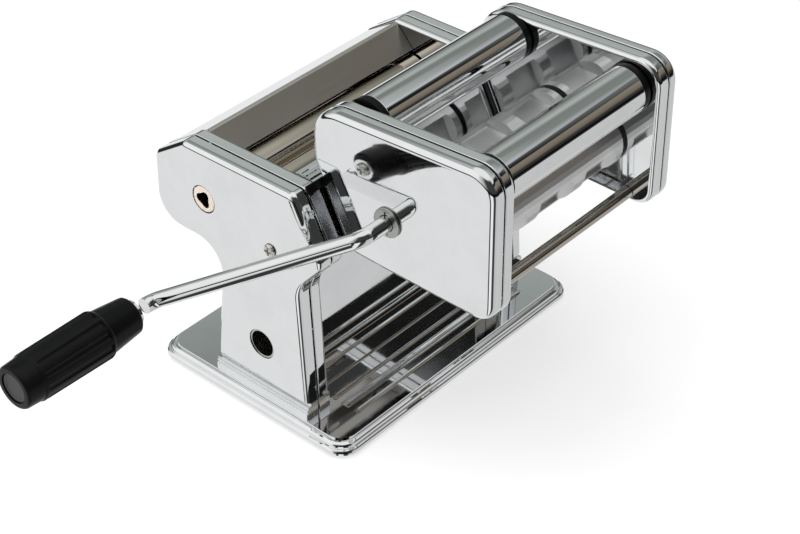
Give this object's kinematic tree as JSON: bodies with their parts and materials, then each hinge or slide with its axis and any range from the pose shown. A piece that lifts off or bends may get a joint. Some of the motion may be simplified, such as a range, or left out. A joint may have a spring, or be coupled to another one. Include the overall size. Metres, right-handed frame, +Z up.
{
  "type": "pasta machine",
  "caption": "Hand-cranked pasta machine: smooth dough rollers between polished side boxes on a flat base, with a lift-off ravioli attachment that carries the crank.",
  "frame": {"origin": "centre of the base plate in plan, on the table plane under the rubber feet", "axes": "X along the rollers with the crank on the -X side, -Y towards the ravioli attachment, +Z up"},
  "size_m": [0.3614, 0.2252, 0.2104],
  "materials": {
    "chrome": "mirror polished",
    "brushed_steel": "fine turned or brushed",
    "bearing_plastic": "moulded cream plastic",
    "gear_steel": "machined and oiled",
    "mould_aluminium": "satin cast",
    "black_plastic": "moulded black plastic",
    "grey_plastic": "moulded grey plastic",
    "foot_rubber": "matt"
  },
  "bodies": {
    "machine": {"base_plate": "chrome", "rubber_foot_front_near": "foot_rubber", "rubber_foot_front_far": "foot_rubber", "rubber_foot_back_near": "foot_rubber", "rubber_foot_back_far": "foot_rubber", "near_riser": "chrome", "far_riser": "chrome", "near_cover": "chrome", "far_cover": "chrome", "near_frame_plate": "chrome", "far_frame_plate": "chrome", "near_cover_screw": "brushed_steel", "far_cover_screw": "brushed_steel", "front_tie_rod": "brushed_steel", "back_tie_rod": "brushed_steel", "clamp_socket": "chrome", "front_panel": "chrome", "front_hopper_sheet": "chrome", "rear_hopper_sheet": "brushed_steel", "rear_scraper": "brushed_steel", "front_scraper": "brushed_steel", "near_roller_bearing": "bearing_plastic", "far_roller_bearing": "bearing_plastic", "knob_dial": "grey_plastic", "near_guide_rail": "brushed_steel", "far_guide_rail": "brushed_steel"},
    "rear_roller": {"rear_smooth_roller": "brushed_steel", "rear_roller_gear": "gear_steel", "drive_bush": "bearing_plastic"},
    "roller_blocks": {"near_roller_block": "bearing_plastic", "far_roller_block": "bearing_plastic"},
    "front_roller": {"front_smooth_roller": "brushed_steel", "front_roller_gear": "gear_steel"},
    "adjuster": {"adjusting_shaft": "brushed_steel"},
    "knob": {"thickness_knob": "black_plastic"},
    "attachment": {"near_attachment_plate": "chrome", "far_attachment_plate": "chrome", "near_attachment_inner_plate": "chrome", "far_attachment_inner_plate": "chrome", "near_rail_shoe": "black_plastic", "far_rail_shoe": "black_plastic", "front_cross_bar": "brushed_steel", "rear_cross_bar": "brushed_steel", "front_stripper": "brushed_steel", "rear_stripper": "brushed_steel"},
    "rear_mould": {"rear_mould_roller": "mould_aluminium", "rear_mould_gear": "gear_steel", "crank_hub_washer": "brushed_steel"},
    "front_mould": {"front_mould_roller": "mould_aluminium", "front_mould_gear": "gear_steel"},
    "rear_guide": {"rear_guide_tube": "chrome", "rear_guide_spool": "black_plastic"},
    "front_guide": {"front_guide_tube": "chrome", "front_guide_spool": "black_plastic"},
    "crank": {"crank_rod": "chrome", "grip_screw": "brushed_steel"},
    "grip": {"crank_grip": "black_plastic", "grip_end_plug": "grey_plastic"}
  },
  "joints": [
    {"name": "rear_roller_spin", "type": "hinge", "parent": "machine", "child": "rear_roller", "pos_m": [0, 0.0323, 0.1249], "axis": [1, 0, 0], "continuous": true},
    {"name": "block_slide", "type": "slide", "parent": "machine", "child": "roller_blocks", "axis": [0, -1, 0], "range_m": [-0.0006, 0.0016]},
    {"name": "front_roller_spin", "type": "hinge", "parent": "roller_blocks", "child": "front_roller", "pos_m": [0, 0.0039, 0.1249], "axis": [1, 0, 0], "continuous": true},
    {"name": "adjuster_turn", "type": "hinge", "parent": "machine", "child": "adjuster", "pos_m": [0, 0.0039, 0.1249], "axis": [1, 0, 0], "range_deg": [-81.9, 218.3]},
    {"name": "knob_pull", "type": "slide", "parent": "adjuster", "child": "knob", "axis": [1, 0, 0], "range_m": [0, 0.004], "stiffness_N_per_m": 300},
    {"name": "attachment_lift", "type": "slide", "parent": "machine", "child": "attachment", "axis": [0, 0.4566, 0.8897], "range_m": [0, 0.03]},
    {"name": "rear_mould_spin", "type": "hinge", "parent": "attachment", "child": "rear_mould", "pos_m": [0, -0.0841, 0.1547], "axis": [1, 0, 0], "continuous": true},
    {"name": "front_mould_spin", "type": "hinge", "parent": "attachment", "child": "front_mould", "pos_m": [0, -0.1171, 0.1547], "axis": [1, 0, 0], "continuous": true},
    {"name": "rear_guide_spin", "type": "hinge", "parent": "attachment", "child": "rear_guide", "pos_m": [0, -0.0546, 0.1924], "axis": [1, 0, 0], "continuous": true},
    {"name": "front_guide_spin", "type": "hinge", "parent": "attachment", "child": "front_guide", "pos_m": [0, -0.1331, 0.1919], "axis": [1, 0, 0], "continuous": true},
    {"name": "crank_pull", "type": "slide", "parent": "rear_mould", "child": "crank", "axis": [-1, 0, 0], "range_m": [0, 0.014]},
    {"name": "grip_spin", "type": "hinge", "parent": "crank", "child": "grip", "pos_m": [-0.2, 0.01395, 0.09874], "axis": [1, 0, 0], "continuous": true}
  ],
  "couplings": [
    {"joint": "front_roller_spin", "follows": "rear_roller_spin", "ratio": -1},
    {"joint": "adjuster_turn", "follows": "block_slide", "rad_per_m": 2380},
    {"joint": "front_mould_spin", "follows": "rear_mould_spin", "ratio": -1}
  ]
}
